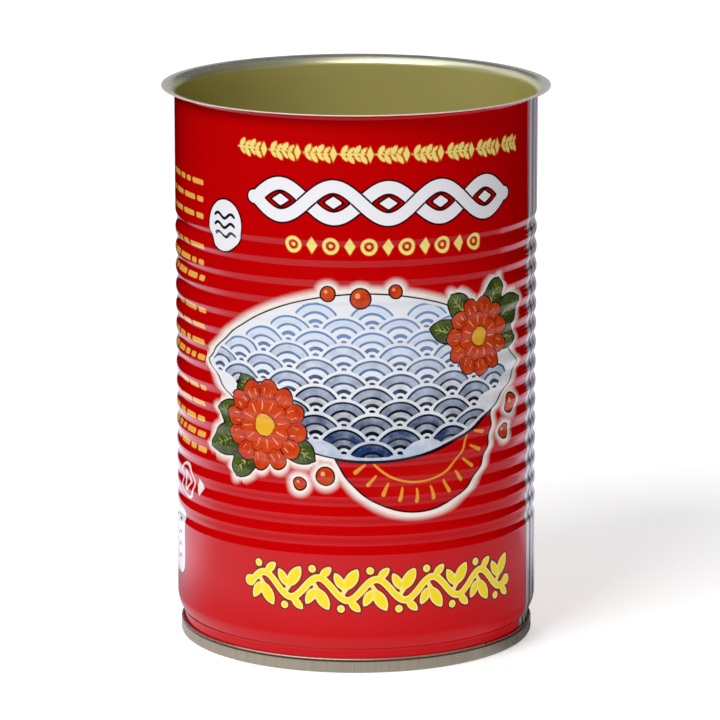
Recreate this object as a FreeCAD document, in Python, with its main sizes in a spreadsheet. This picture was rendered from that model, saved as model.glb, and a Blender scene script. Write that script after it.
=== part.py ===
import FreeCAD, Part
import os
import math
import Sketcher

# Open three-piece food can, 73 mm across and 113 mm high, standing on its
# double-seamed end with the flanged, unseamed end up.
#
#   can_body  welded tinplate wall: flange, plain band, beads, plain band,
#             necked-in foot and the body hook inside the seam
#   can_end   tinplate end: panel with expansion rings, countersink, chuck
#             wall and the cover hook rolled round the body hook
#
# +Z is up. The origin is the centre of the circle the can stands on.

doc = FreeCAD.newDocument("open_food_can")

# ---------------------------------------------------------------- dimensions
# name, value (mm or a count), what it is
SIZES = [
    ("wall", 0.20, "tinplate thickness of the body"),
    ("tall", 113.15, "height over the flange"),
    ("body_radius", 36.65, "outside of the plain wall"),
    ("flange_radius", 39.28, "edge of the flange"),
    ("flange_bend", 1.80, "inside bend under the flange"),
    ("bead_count", 16, "beads in the wall"),
    ("bead_pitch", 3.99, "spacing of the beads"),
    ("bead_depth", 0.45, "depth of a bead"),
    ("bead_first", 86.20, "height of the highest bead"),
    ("shoulder_start", 8.60, "where the wall starts to neck in"),
    ("shoulder_radius", 6.40, "outside radius of the necked shoulder"),
    ("neck_radius", 0.90, "outside radius where the neck straightens"),
    ("neck_wall", 35.26, "outside of the neck, which is the body wall in the seam"),
    ("body_hook_in", 35.54, "inner side of the body hook"),
    ("body_bend_low", 0.22, "lowest point of the body's bend inside the seam"),
    ("body_hook_tip", 2.40, "top of the body hook"),
    ("end_sheet", 0.20, "tinplate thickness of the end"),
    ("seam_radius", 35.98, "outside of the seam"),
    ("seam_tall", 3.00, "height of the seam"),
    ("seam_corner", 0.56, "outer corner radius at the seam's foot"),
    ("chuck_corner", 0.38, "inner corner radius at the seam's foot"),
    ("chuck_wall", 34.82, "inside of the chuck wall"),
    ("cover_hook_in", 35.30, "inner side of the cover hook"),
    ("cover_hook_tip", 0.80, "lower end of the cover hook"),
    ("sink_depth", 4.20, "depth of the countersink below the seam"),
    ("sink_radius", 0.65, "radius of the countersink, outside"),
    ("panel_bend", 0.70, "radius from the countersink wall to the panel, inside"),
    ("panel_depth", 3.10, "depth of the panel"),
    ("ring_depth", 2.60, "depth of the raised expansion ring"),
    ("ring_bend", 0.80, "bend radius of the expansion rings"),
    ("ring_outer", 28.20, "outer foot of the outer expansion ring"),
    ("ring_middle", 22.60, "inner foot of the outer expansion ring"),
    ("centre_outer", 17.40, "outer foot of the centre step"),
]

dims = doc.addObject("Spreadsheet::Sheet", "dims")
dims.set("A1", "name")
dims.set("B1", "value")
dims.set("C1", "meaning")
for row, (name, value, meaning) in enumerate(SIZES, start=2):
    dims.set("A%d" % row, name)
    dims.set("B%d" % row, repr(value))
    dims.set("C%d" % row, meaning)
    dims.setAlias("B%d" % row, name)
doc.recompute()
V = {name: float(getattr(dims, name)) for name, _, _ in SIZES}


def vec(x, y):
    return FreeCAD.Vector(x, y, 0.0)


class Profile:
    """A closed half-section, drawn in the XZ plane and fully dimensioned."""

    def __init__(self, body, name):
        self.sk = body.newObject("Sketcher::SketchObject", name)
        plane = [f for f in body.Origin.OriginFeatures if f.Role == "XZ_Plane"][0]
        self.sk.AttachmentSupport = [(plane, "")]
        self.sk.MapMode = "FlatFace"

    def line(self, x1, y1, x2, y2):
        return self.sk.addGeometry(Part.LineSegment(vec(x1, y1), vec(x2, y2)), False)

    def arc(self, cx, cy, r, a0, a1):
        # counter-clockwise from a0 to a1, in degrees: point 1 is at a0, 2 at a1
        circle = Part.Circle(vec(cx, cy), FreeCAD.Vector(0, 0, 1), r)
        return self.sk.addGeometry(
            Part.ArcOfCircle(circle, math.radians(a0), math.radians(a1)), False)

    def meet(self, a, pa, b, pb):
        self.sk.addConstraint(Sketcher.Constraint("Coincident", a, pa, b, pb))

    def smooth(self, a, pa, b, pb):
        self.sk.addConstraint(Sketcher.Constraint("Tangent", a, pa, b, pb))

    def rule(self, kind, *args):
        self.sk.addConstraint(Sketcher.Constraint(kind, *args))

    def size(self, expr, value, kind, *args):
        index = self.sk.addConstraint(Sketcher.Constraint(kind, *(args + (value,))))
        self.sk.setExpression("Constraints[%d]" % index, expr)

    def at_x(self, geo, point, expr, value):
        self.size(expr, value, "DistanceX", -1, 1, geo, point)

    def at_y(self, geo, point, expr, value):
        self.size(expr, value, "DistanceY", -1, 1, geo, point)

    def radius(self, geo, expr, value):
        self.size(expr, value, "Radius", geo)


def revolve(body, profile, name):
    rev = body.newObject("PartDesign::Revolution", name)
    rev.Profile = profile.sk
    rev.ReferenceAxis = (profile.sk, ["V_Axis"])
    rev.Angle = 360.0
    return rev


# ---------------------------------------------------------------- can_body
body = doc.addObject("PartDesign::Body", "can_body")
body.Label = "can_body"

t = V["wall"]
R = V["body_radius"]
H = V["tall"]

# Plain band under the flange, and the flange itself.
rb = V["flange_bend"]
Rf = V["flange_radius"]
z_beads = V["bead_first"] + V["bead_pitch"] / 2
zc = H - t - rb
p = Profile(body, "flange_profile")
wall_out = p.line(R, z_beads, R, zc)
bend_out = p.arc(R + rb, zc, rb, 90, 180)
lip_low = p.line(R + rb, H - t, Rf, H - t)
lip_edge = p.line(Rf, H - t, Rf, H)
lip_top = p.line(Rf, H, R + rb, H)
bend_in = p.arc(R + rb, zc, rb + t, 90, 180)
wall_in = p.line(R - t, zc, R - t, z_beads)
joint = p.line(R - t, z_beads, R, z_beads)
p.smooth(wall_out, 2, bend_out, 2)
p.smooth(bend_out, 1, lip_low, 1)
p.meet(lip_low, 2, lip_edge, 1)
p.meet(lip_edge, 2, lip_top, 1)
p.smooth(lip_top, 2, bend_in, 1)
p.smooth(bend_in, 2, wall_in, 1)
p.meet(wall_in, 2, joint, 1)
p.meet(joint, 2, wall_out, 1)
p.meet(bend_in, 3, bend_out, 3)
p.rule("Vertical", wall_out)
p.rule("Vertical", wall_in)
p.rule("Vertical", lip_edge)
p.rule("Horizontal", lip_low)
p.rule("Horizontal", lip_top)
p.rule("Horizontal", joint)
p.at_x(wall_out, 1, "dims.body_radius", R)
p.at_y(wall_out, 1, "dims.bead_first + dims.bead_pitch / 2", z_beads)
p.radius(bend_out, "dims.flange_bend", rb)
p.radius(bend_in, "dims.flange_bend + dims.wall", rb + t)
p.at_x(lip_edge, 2, "dims.flange_radius", Rf)
p.at_y(lip_edge, 2, "dims.tall", H)
flange_sk = p
flange = revolve(body, p, "flange_and_band")

# One bead: a ring one pitch high, from crest to crest. Crest and trough have
# the same radius on the outside, so the flanks join them without a flat.
d = V["bead_depth"]
half = V["bead_pitch"] / 2
z0 = V["bead_first"]
rr = (d * d + half * half) / (4 * d)
flank = math.degrees(math.asin(half / (2 * rr)))
RR = "((dims.bead_depth ^ 2 + (dims.bead_pitch / 2) ^ 2) / (4 * dims.bead_depth))"
p = Profile(body, "bead_profile")
top_out = p.arc(R - rr, z0 + half, rr, -flank, 0)
mid_out = p.arc(R - d + rr, z0, rr, 180 - flank, 180 + flank)
low_out = p.arc(R - rr, z0 - half, rr, 0, flank)
low_cap = p.line(R, z0 - half, R - t, z0 - half)
low_in = p.arc(R - rr, z0 - half, rr - t, 0, flank)
mid_in = p.arc(R - d + rr, z0, rr + t, 180 - flank, 180 + flank)
top_in = p.arc(R - rr, z0 + half, rr - t, -flank, 0)
top_cap = p.line(R - t, z0 + half, R, z0 + half)
p.smooth(top_out, 1, mid_out, 1)
p.smooth(mid_out, 2, low_out, 2)
p.meet(low_out, 1, low_cap, 1)
p.meet(low_cap, 2, low_in, 1)
p.smooth(low_in, 2, mid_in, 2)
p.smooth(mid_in, 1, top_in, 1)
p.meet(top_in, 2, top_cap, 1)
p.meet(top_cap, 2, top_out, 2)
p.meet(low_in, 3, low_out, 3)
p.meet(mid_in, 3, mid_out, 3)
p.meet(top_in, 3, top_out, 3)
p.rule("Horizontal", low_cap)
p.rule("Horizontal", top_cap)
p.at_x(top_out, 3, "dims.body_radius - " + RR, R - rr)
p.at_y(top_out, 3, "dims.bead_first + dims.bead_pitch / 2", z0 + half)
p.at_x(low_out, 3, "dims.body_radius - " + RR, R - rr)
p.at_y(low_out, 3, "dims.bead_first - dims.bead_pitch / 2", z0 - half)
p.at_y(mid_out, 3, "dims.bead_first", z0)
p.at_x(top_out, 2, "dims.body_radius", R)
p.at_y(top_out, 2, "dims.bead_first + dims.bead_pitch / 2", z0 + half)
p.at_y(low_out, 1, "dims.bead_first - dims.bead_pitch / 2", z0 - half)
p.radius(mid_out, RR, rr)
p.radius(top_in, RR + " - dims.wall", rr - t)
bead_sk = p
bead = revolve(body, p, "bead")
z_axis = [f for f in body.Origin.OriginFeatures if f.Role == "Z_Axis"][0]
beads = body.newObject("PartDesign::LinearPattern", "beads")
beads.Originals = [bead]
beads.Direction = (z_axis, [""])
beads.Reversed = True
beads.Length = V["bead_pitch"] * (V["bead_count"] - 1)
beads.Occurrences = int(V["bead_count"])
beads.setExpression("Length", "dims.bead_pitch * (dims.bead_count - 1)")
beads.setExpression("Occurrences", "dims.bead_count")
body.Tip = beads
doc.recompute()
volume_beads = body.Shape.Volume

# Plain band under the beads, necked-in foot and body hook.
z_low = z0 - V["bead_pitch"] * (V["bead_count"] - 1) - half
Z_LOW = "dims.bead_first - dims.bead_pitch * (dims.bead_count - 0.5)"
Rs = V["shoulder_radius"]
Rk = V["neck_radius"]
Rn = V["neck_wall"]
Rh = V["body_hook_in"]
zs = V["shoulder_start"]
drop = R - Rn
run = math.sqrt(2 * drop * (Rs + Rk) - drop * drop)
lean = math.degrees(math.asin(run / (Rs + Rk)))
z_neck = zs - run
ru = (Rh - Rn) / 2
z_u = V["body_bend_low"] + ru + t
p = Profile(body, "foot_profile")
band_out = p.line(R, z_low, R, zs)
shoulder_out = p.arc(R - Rs, zs, Rs, -lean, 0)
neck_out = p.arc(Rn + Rk, z_neck, Rk, 180 - lean, 180)
drop_out = p.line(Rn, z_neck, Rn, z_u)
bend_low_in = p.arc(Rn + ru, z_u, ru, 180, 360)
hook_in = p.line(Rh, z_u, Rh, V["body_hook_tip"])
hook_tip = p.line(Rh, V["body_hook_tip"], Rh + t, V["body_hook_tip"])
hook_out = p.line(Rh + t, V["body_hook_tip"], Rh + t, z_u)
bend_low_out = p.arc(Rn + ru, z_u, ru + t, 180, 360)
drop_in = p.line(Rn - t, z_u, Rn - t, z_neck)
neck_in = p.arc(Rn + Rk, z_neck, Rk + t, 180 - lean, 180)
shoulder_in = p.arc(R - Rs, zs, Rs - t, -lean, 0)
band_in = p.line(R - t, zs, R - t, z_low)
joint = p.line(R - t, z_low, R, z_low)
p.smooth(band_out, 2, shoulder_out, 2)
p.smooth(shoulder_out, 1, neck_out, 1)
p.smooth(neck_out, 2, drop_out, 1)
p.smooth(drop_out, 2, bend_low_in, 1)
p.smooth(bend_low_in, 2, hook_in, 1)
p.meet(hook_in, 2, hook_tip, 1)
p.meet(hook_tip, 2, hook_out, 1)
p.smooth(hook_out, 2, bend_low_out, 2)
p.smooth(bend_low_out, 1, drop_in, 1)
p.smooth(drop_in, 2, neck_in, 2)
p.smooth(neck_in, 1, shoulder_in, 1)
p.smooth(shoulder_in, 2, band_in, 1)
p.meet(band_in, 2, joint, 1)
p.meet(joint, 2, band_out, 1)
p.meet(shoulder_in, 3, shoulder_out, 3)
p.meet(neck_in, 3, neck_out, 3)
p.meet(bend_low_in, 3, bend_low_out, 3)
p.rule("Vertical", band_out)
p.rule("Vertical", band_in)
p.rule("Vertical", hook_out)
p.rule("Vertical", drop_out)
p.rule("Vertical", hook_in)
p.rule("Horizontal", joint)
p.rule("Horizontal", hook_tip)
p.at_x(band_out, 1, "dims.body_radius", R)
p.at_y(band_out, 1, Z_LOW, z_low)
p.at_y(shoulder_out, 3, "dims.shoulder_start", zs)
p.radius(shoulder_out, "dims.shoulder_radius", Rs)
p.radius(neck_out, "dims.neck_radius", Rk)
p.at_x(drop_out, 1, "dims.neck_wall", Rn)
p.at_x(hook_in, 1, "dims.body_hook_in", Rh)
p.at_y(bend_low_in, 3, "dims.body_bend_low + (dims.body_hook_in - dims.neck_wall) / 2 + dims.wall", z_u)
p.at_y(hook_in, 2, "dims.body_hook_tip", V["body_hook_tip"])
p.radius(bend_low_out, "(dims.body_hook_in - dims.neck_wall) / 2 + dims.wall", ru + t)
p.radius(neck_in, "dims.neck_radius + dims.wall", Rk + t)
foot_sk = p
foot = revolve(body, p, "foot")
body.Tip = foot
doc.recompute()

# ---------------------------------------------------------------- can_end
end = doc.addObject("PartDesign::Body", "can_end")
end.Label = "can_end"

s = V["end_sheet"]
Ro = V["seam_radius"]
Hs = V["seam_tall"]
co = V["seam_corner"]
ci = V["chuck_corner"]
Rc = V["chuck_wall"]
Ri = V["cover_hook_in"]
rs = V["sink_radius"]
rp = V["panel_bend"]
zsink = V["sink_depth"]
zp = V["panel_depth"]
zr = V["ring_depth"]
re = V["ring_bend"]

# The cover hook's bend over the top of the body hook.
rt = ((Ro - s) - (Ri + s)) / 2
xt = Ri + s + rt
zt = Hs - s - rt

# Countersink: an arch between the chuck wall and the wall up to the panel.
# x_s is its centre; the inside of the arch (facing out of the can) has radius rs.
x_s = Rc - rs
z_s = zsink - rs
x_p = x_s - rs - rp - s      # centre of the bend into the panel
z_p = zp + s + rp

# A ring step is two arcs of the same middle radius.
step = zp - zr
rm = re + s / 2
span = math.sqrt(2 * step * 2 * rm - step * step)
tilt = math.degrees(math.asin(span / (2 * rm)))
SPAN = "sqrt(2 * (dims.panel_depth - dims.ring_depth) * (2 * dims.ring_bend + dims.end_sheet) - (dims.panel_depth - dims.ring_depth) ^ 2)"

p = Profile(end, "end_profile")
# outer face, from the tip of the cover hook round the seam to the axis
o_tip = p.line(Ri, V["cover_hook_tip"], Ri + s, V["cover_hook_tip"])
o_hook = p.line(Ri, zt, Ri, V["cover_hook_tip"])
o_top = p.arc(xt, zt, rt + s, 0, 180)
o_seam = p.line(Ro, co, Ro, zt)
o_corner = p.arc(Ro - co, co, co, 270, 360)
o_foot = p.line(Rc + ci, 0, Ro - co, 0)
o_inner = p.arc(Rc + ci, ci, ci, 180, 270)
o_chuck = p.line(Rc, ci, Rc, z_s)
o_sink = p.arc(x_s, z_s, rs, 0, 180)
o_riser = p.line(x_s - rs, z_s, x_s - rs, z_p)
o_panel = p.arc(x_p, z_p, rp + s, 270, 360)
x1 = V["ring_outer"]
x2 = V["ring_middle"]
x3 = V["centre_outer"]
o_flat1 = p.line(x_p, zp, x1, zp)
# out of the panel into the ring, which stands lower when the can is on it
o_s1a = p.arc(x1, zp - re, re, 90, 90 + tilt)
o_s1b = p.arc(x1 - span, zr + re + s, re + s, 270, 270 + tilt)
o_flat2 = p.line(x1 - span, zr, x2 + span, zr)
o_s2b = p.arc(x2 + span, zr + re + s, re + s, 270 - tilt, 270)
o_s2a = p.arc(x2, zp - re, re, 90 - tilt, 90)
o_flat3 = p.line(x2, zp, x3, zp)
o_s3a = p.arc(x3, zp - re, re, 90, 90 + tilt)
o_s3b = p.arc(x3 - span, zr + re + s, re + s, 270, 270 + tilt)
o_flat4 = p.line(x3 - span, zr, 0, zr)
axis = p.line(0, zr, 0, zr + s)
# inner face, from the axis back to the cover hook
i_flat4 = p.line(0, zr + s, x3 - span, zr + s)
i_s3b = p.arc(x3 - span, zr + re + s, re, 270, 270 + tilt)
i_s3a = p.arc(x3, zp - re, re + s, 90, 90 + tilt)
i_flat3 = p.line(x3, zp + s, x2, zp + s)
i_s2a = p.arc(x2, zp - re, re + s, 90 - tilt, 90)
i_s2b = p.arc(x2 + span, zr + re + s, re, 270 - tilt, 270)
i_flat2 = p.line(x2 + span, zr + s, x1 - span, zr + s)
i_s1b = p.arc(x1 - span, zr + re + s, re, 270, 270 + tilt)
i_s1a = p.arc(x1, zp - re, re + s, 90, 90 + tilt)
i_flat1 = p.line(x1, zp + s, x_p, zp + s)
i_panel = p.arc(x_p, z_p, rp, 270, 360)
i_riser = p.line(x_s - rs - s, z_p, x_s - rs - s, z_s)
i_sink = p.arc(x_s, z_s, rs + s, 0, 180)
i_chuck = p.line(Rc + s, z_s, Rc + s, ci)
i_inner = p.arc(Rc + ci, ci, ci - s, 180, 270)
i_foot = p.line(Rc + ci, s, Ro - co, s)
i_corner = p.arc(Ro - co, co, co - s, 270, 360)
i_seam = p.line(Ro - s, co, Ro - s, zt)
i_top = p.arc(xt, zt, rt, 0, 180)
i_hook = p.line(Ri + s, zt, Ri + s, V["cover_hook_tip"])

p.meet(o_tip, 1, o_hook, 2)
p.smooth(o_hook, 1, o_top, 2)
p.smooth(o_top, 1, o_seam, 2)
p.smooth(o_seam, 1, o_corner, 2)
p.smooth(o_corner, 1, o_foot, 2)
p.smooth(o_foot, 1, o_inner, 2)
p.smooth(o_inner, 1, o_chuck, 1)
p.smooth(o_chuck, 2, o_sink, 1)
p.smooth(o_sink, 2, o_riser, 1)
p.smooth(o_riser, 2, o_panel, 2)
p.smooth(o_panel, 1, o_flat1, 1)
p.smooth(o_flat1, 2, o_s1a, 1)
p.smooth(o_s1a, 2, o_s1b, 2)
p.smooth(o_s1b, 1, o_flat2, 1)
p.smooth(o_flat2, 2, o_s2b, 2)
p.smooth(o_s2b, 1, o_s2a, 1)
p.smooth(o_s2a, 2, o_flat3, 1)
p.smooth(o_flat3, 2, o_s3a, 1)
p.smooth(o_s3a, 2, o_s3b, 2)
p.smooth(o_s3b, 1, o_flat4, 1)
p.meet(o_flat4, 2, axis, 1)
p.meet(axis, 2, i_flat4, 1)
p.smooth(i_flat4, 2, i_s3b, 1)
p.smooth(i_s3b, 2, i_s3a, 2)
p.smooth(i_s3a, 1, i_flat3, 1)
p.smooth(i_flat3, 2, i_s2a, 2)
p.smooth(i_s2a, 1, i_s2b, 1)
p.smooth(i_s2b, 2, i_flat2, 1)
p.smooth(i_flat2, 2, i_s1b, 1)
p.smooth(i_s1b, 2, i_s1a, 2)
p.smooth(i_s1a, 1, i_flat1, 1)
p.smooth(i_flat1, 2, i_panel, 1)
p.smooth(i_panel, 2, i_riser, 1)
p.smooth(i_riser, 2, i_sink, 2)
p.smooth(i_sink, 1, i_chuck, 1)
p.smooth(i_chuck, 2, i_inner, 1)
p.smooth(i_inner, 2, i_foot, 1)
p.smooth(i_foot, 2, i_corner, 1)
p.smooth(i_corner, 2, i_seam, 1)
p.smooth(i_seam, 2, i_top, 1)
p.smooth(i_top, 2, i_hook, 1)
p.meet(i_hook, 2, o_tip, 2)
for inner, outer in ((i_top, o_top), (i_corner, o_corner), (i_inner, o_inner),
                     (i_sink, o_sink), (i_panel, o_panel), (i_s1a, o_s1a),
                     (i_s1b, o_s1b), (i_s2a, o_s2a), (i_s2b, o_s2b),
                     (i_s3a, o_s3a), (i_s3b, o_s3b)):
    p.meet(inner, 3, outer, 3)
for geo in (o_hook, o_seam, o_chuck, o_riser, i_hook):
    p.rule("Vertical", geo)
for geo in (o_tip, o_foot, o_flat1, o_flat2, o_flat3, o_flat4, i_flat4):
    p.rule("Horizontal", geo)
p.rule("PointOnObject", axis, 1, -2)
p.rule("PointOnObject", axis, 2, -2)

p.at_x(o_hook, 1, "dims.cover_hook_in", Ri)
p.at_y(o_hook, 2, "dims.cover_hook_tip", V["cover_hook_tip"])
p.at_x(o_seam, 1, "dims.seam_radius", Ro)
p.at_y(o_top, 3, "dims.seam_tall - (dims.seam_radius - dims.cover_hook_in) / 2", zt)
p.radius(i_top, "(dims.seam_radius - dims.cover_hook_in) / 2 - dims.end_sheet", rt)
p.rule("PointOnObject", o_foot, 1, -1)
p.radius(o_corner, "dims.seam_corner", co)
p.radius(i_corner, "dims.seam_corner - dims.end_sheet", co - s)
p.radius(o_inner, "dims.chuck_corner", ci)
p.radius(i_inner, "dims.chuck_corner - dims.end_sheet", ci - s)
p.at_x(o_chuck, 1, "dims.chuck_wall", Rc)
p.radius(o_sink, "dims.sink_radius", rs)
p.radius(i_sink, "dims.sink_radius + dims.end_sheet", rs + s)
p.at_y(o_sink, 3, "dims.sink_depth - dims.sink_radius", z_s)
p.radius(i_panel, "dims.panel_bend", rp)
p.radius(o_panel, "dims.panel_bend + dims.end_sheet", rp + s)
p.at_y(o_flat1, 1, "dims.panel_depth", zp)
p.at_y(o_flat2, 1, "dims.ring_depth", zr)
p.at_y(o_flat3, 1, "dims.panel_depth", zp)
p.at_y(o_flat4, 1, "dims.ring_depth", zr)
p.at_x(o_s1a, 3, "dims.ring_outer", x1)
p.at_x(o_s2a, 3, "dims.ring_middle", x2)
p.at_x(o_s3a, 3, "dims.centre_outer", x3)
for geo in (o_s1a, o_s2a, o_s3a):
    p.radius(geo, "dims.ring_bend", re)
for geo in (o_s1b, o_s2b, o_s3b):
    p.radius(geo, "dims.ring_bend + dims.end_sheet", re + s)
for geo in (i_s1a, i_s2a, i_s3a):
    p.radius(geo, "dims.ring_bend + dims.end_sheet", re + s)
end_sk = p
shell = revolve(end, p, "end_shell")
end.Tip = shell
doc.recompute()

# ---------------------------------------------------------------- checks
for feature in doc.Objects:
    state = list(feature.State)
    if "Invalid" in state or "Error" in state:
        raise RuntimeError("%s is %s" % (feature.Name, state))
for sketch in (flange_sk.sk, bead_sk.sk, foot_sk.sk, end_sk.sk):
    status = sketch.solve()
    print(sketch.Name, "solve", status, "fully constrained", sketch.FullyConstrained)
    if status != 0:
        raise RuntimeError("%s doesn't solve: %d" % (sketch.Name, status))

NODES = (body, end)
for node in NODES:
    node.Placement = FreeCAD.Placement(FreeCAD.Vector(0, 0, 0), FreeCAD.Rotation())
doc.recompute()

# Pappus: a ring's volume is its section's area times the path of its centroid.
print("beads volume %.2f, flange only %.2f, one bead %.2f" % (
    volume_beads, flange.Shape.Volume,
    (volume_beads - flange.Shape.Volume) / V["bead_count"]))
if volume_beads < flange.Shape.Volume + 0.9 * V["bead_count"] * 2 * math.pi * R * t * V["bead_pitch"]:
    raise RuntimeError("some beads are missing")

os.makedirs("parts", exist_ok=True)
for node in NODES:
    shape = node.Shape
    if shape.isNull() or not shape.isValid():
        raise RuntimeError("%s has no valid shape" % node.Label)
    if len(shape.Solids) != 1:
        raise RuntimeError("%s is %d solids" % (node.Label, len(shape.Solids)))
    box = shape.BoundBox
    print("%s: volume %.1f mm3, faces %d, z %.3f to %.3f, radius %.3f" % (
        node.Label, shape.Volume, len(shape.Faces), box.ZMin, box.ZMax, box.XMax))
    shape.exportStep("parts/%s.step" % node.Label)
overlap = body.Shape.common(end.Shape)
print("overlap of the two %.6f mm3" % overlap.Volume)
if overlap.Volume > 0.001:
    raise RuntimeError("the body and the end overlap")
print("written")
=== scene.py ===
"""An empty tall round food can, open end up: printed wall, gold-lacquered inside, bare flange, weld strip, seamed end."""
import math

import bpy
import numpy as np
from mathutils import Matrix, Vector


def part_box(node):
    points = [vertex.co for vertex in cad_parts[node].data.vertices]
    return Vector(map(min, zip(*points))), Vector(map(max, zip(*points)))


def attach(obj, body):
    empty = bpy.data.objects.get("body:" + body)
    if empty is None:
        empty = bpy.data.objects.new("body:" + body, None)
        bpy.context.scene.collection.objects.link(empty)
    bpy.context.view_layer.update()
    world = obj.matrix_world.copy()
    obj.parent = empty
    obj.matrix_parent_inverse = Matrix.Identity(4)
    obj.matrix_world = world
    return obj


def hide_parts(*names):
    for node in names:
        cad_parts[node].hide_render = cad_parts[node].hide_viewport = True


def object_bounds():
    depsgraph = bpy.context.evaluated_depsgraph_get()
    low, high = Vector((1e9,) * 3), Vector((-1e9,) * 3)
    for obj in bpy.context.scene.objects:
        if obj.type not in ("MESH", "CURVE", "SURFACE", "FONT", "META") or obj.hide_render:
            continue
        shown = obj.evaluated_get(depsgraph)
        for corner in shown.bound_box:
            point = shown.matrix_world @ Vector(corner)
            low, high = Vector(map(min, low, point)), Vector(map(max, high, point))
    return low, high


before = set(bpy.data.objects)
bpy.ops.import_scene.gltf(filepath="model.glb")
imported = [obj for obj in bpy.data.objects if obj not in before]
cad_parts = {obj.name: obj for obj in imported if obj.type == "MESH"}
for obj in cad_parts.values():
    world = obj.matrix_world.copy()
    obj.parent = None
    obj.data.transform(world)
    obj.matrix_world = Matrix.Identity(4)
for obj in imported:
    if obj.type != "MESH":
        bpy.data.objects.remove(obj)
CAD_BOX = [list(c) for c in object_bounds()]
MM = 0.001

# ---------------------------------------------------------------- sizes of the wall, in millimetres
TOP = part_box("can_body")[1].z / MM          # 113.15, the flange's top
LIP = min(-CAD_BOX[0][0], -CAD_BOX[0][1], CAD_BOX[1][0], CAD_BOX[1][1]) / MM    # 39.26, the flange's edge
SHEET = 0.20
WALL = LIP - 2.614                           # 36.65, the wall's outside
RISE = 5.0                                   # the flange still rises this much at its edge, in degrees
BEND_R, BEND = WALL + 1.8, 1.8
BEND_Z = TOP - 2.0 - 0.085
PITCH, DEPTH, BEADS, FIRST = 3.99, 0.45, 16, 86.20
ARC = DEPTH / 4 + PITCH * PITCH / (16 * DEPTH)
ZTOP = FIRST + PITCH / 2                     # beads start
ZLOW = FIRST - (BEADS - 0.5) * PITCH         # beads end
SHOULDER_Z, SHOULDER = 8.6, 6.4
NECK, NECK_R = 0.9, 35.26
SEAM_TOP = 3.0


def steps(a, b, n):
    return [a + (b - a) * i / n for i in range(n + 1)]


def bead_rows(per, off, out):
    """Rows (r, z, nr, nz) down the beads, from the first crest to the last one. off moves the surface inward by the sheet."""
    rows = []
    quarter = PITCH / 4
    top_angle = math.asin(quarter / ARC)
    for k in range(BEADS):
        zc = FIRST - k * PITCH
        for i in range(per):
            t = i / per * 4
            if t < 1 or t >= 3:      # crest arcs, swelling outward
                a = -t * top_angle if t < 1 else (4 - t) * top_angle
                zz = zc + PITCH / 2 if t < 1 else zc - PITCH / 2
                rr = ARC - off
                rows.append((WALL - ARC + rr * math.cos(a), zz + rr * math.sin(a), math.cos(a), math.sin(a)))
            else:                    # the groove, hollow outward
                a = (2 - t) * top_angle
                rr = ARC + off
                rows.append((WALL - DEPTH + ARC - rr * math.cos(a), zc + rr * math.sin(a), math.cos(a), -math.sin(a)))
    rows.append((WALL - off, ZLOW, 1.0, 0.0))
    return [(r, z, nr * out, nz * out) for r, z, nr, nz in rows]


def outer_rows(band, per):
    """The printed side: flange underside, bend, plain band, beads, plain band, shoulder, neck."""
    sr, cr = math.sin(math.radians(RISE)), math.cos(math.radians(RISE))
    rows = []
    for back in (0.06, 0.5):
        rows.append((LIP - back, BEND_Z + (BEND - (LIP - back - BEND_R) * -sr) / cr, sr, -cr))
    for a in steps(90 + RISE, 180, 24):
        c, s = math.cos(math.radians(a)), math.sin(math.radians(a))
        tilt = 180 - a
        if tilt < 42:             # varnish has flowed into the foot of the bend and rounds its start off
            tilt = tilt * (tilt / 42) ** 1.2
        t = math.radians(tilt)
        rows.append((BEND_R + BEND * c, BEND_Z + BEND * s, math.cos(t), -math.sin(t)))
    rows += [(WALL, z, 1, 0) for z in steps(BEND_Z, ZTOP, band)[1:-1]]
    rows += bead_rows(per, 0.0, 1)
    rows += [(WALL, z, 1, 0) for z in steps(ZLOW, SHOULDER_Z, int(band * 0.69))[1:]]
    reach = SHOULDER + NECK
    across = NECK_R + NECK - (WALL - SHOULDER)
    turn = math.degrees(math.acos(across / reach))
    for a in steps(0, -turn, 12)[1:]:
        c, s = math.cos(math.radians(a)), math.sin(math.radians(a))
        rows.append((WALL - SHOULDER + SHOULDER * c, SHOULDER_Z + SHOULDER * s, c, s))
    zn = SHOULDER_Z - math.sqrt(reach * reach - across * across)
    for a in steps(180 - turn, 180, 6)[1:]:
        c, s = math.cos(math.radians(a)), math.sin(math.radians(a))
        rows.append((NECK_R + NECK + NECK * c, zn + NECK * s, -c, -s))
    rows += [(NECK_R, z, 1, 0) for z in steps(zn, 2.7, 3)[1:]]
    return rows


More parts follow.
